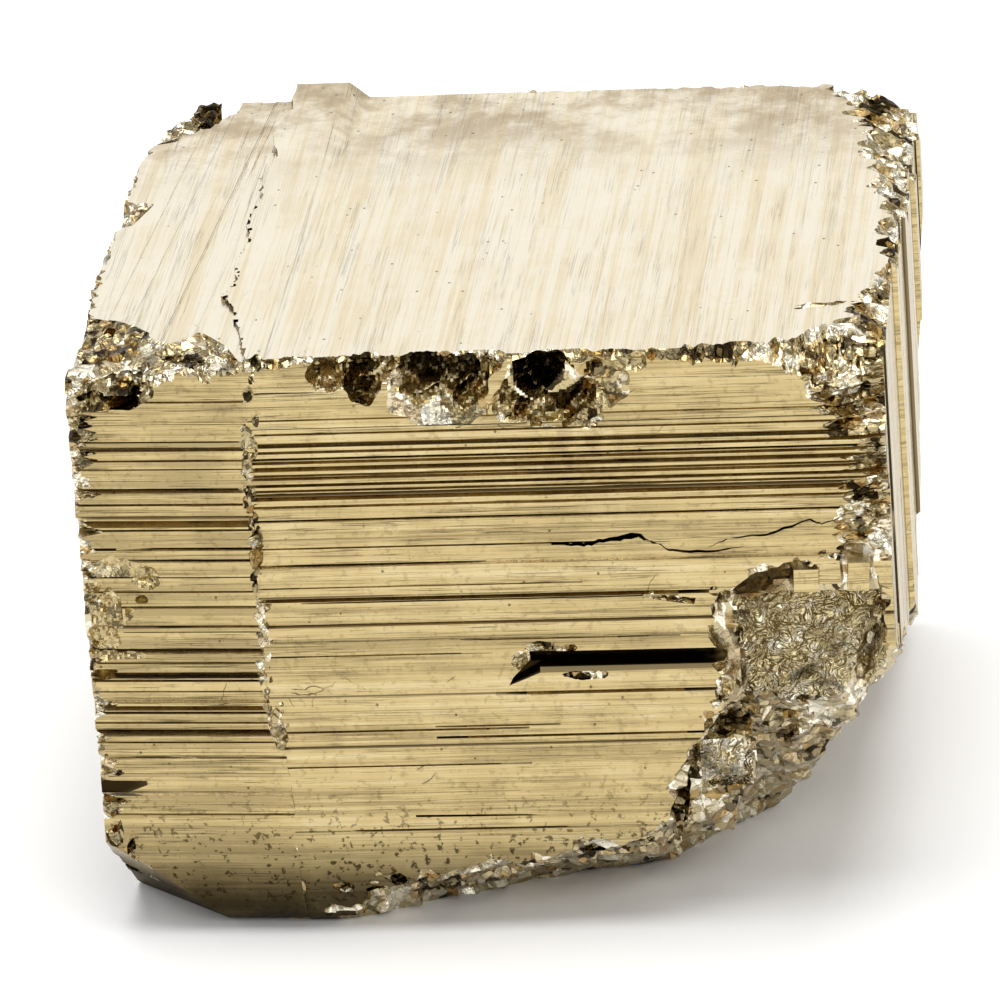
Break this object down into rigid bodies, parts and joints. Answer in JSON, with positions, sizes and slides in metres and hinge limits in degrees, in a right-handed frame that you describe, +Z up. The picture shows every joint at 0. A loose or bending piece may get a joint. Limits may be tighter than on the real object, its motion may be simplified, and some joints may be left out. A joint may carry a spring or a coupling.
{
  "type": "pyrite specimen",
  "caption": "Block of natural pyrite: cubic crystals grown together, with striated faces, chipped edges, one broken corner and a flat underside to rest on.",
  "frame": {"origin": "centre of the block's footprint, on the flat underside", "axes": "+X along the striated front face towards the broken corner, +Y into the depth away from the front face, +Z up"},
  "size_m": [0.0505, 0.0467, 0.0398],
  "materials": {
    "pyrite": "natural metallic pyrite, pale brass yellow, finely striated, with bright broken chips and dark grime in the cracks"
  },
  "bodies": {
    "root": {"pyrite_crystal": "pyrite"}
  },
  "joints": []
}
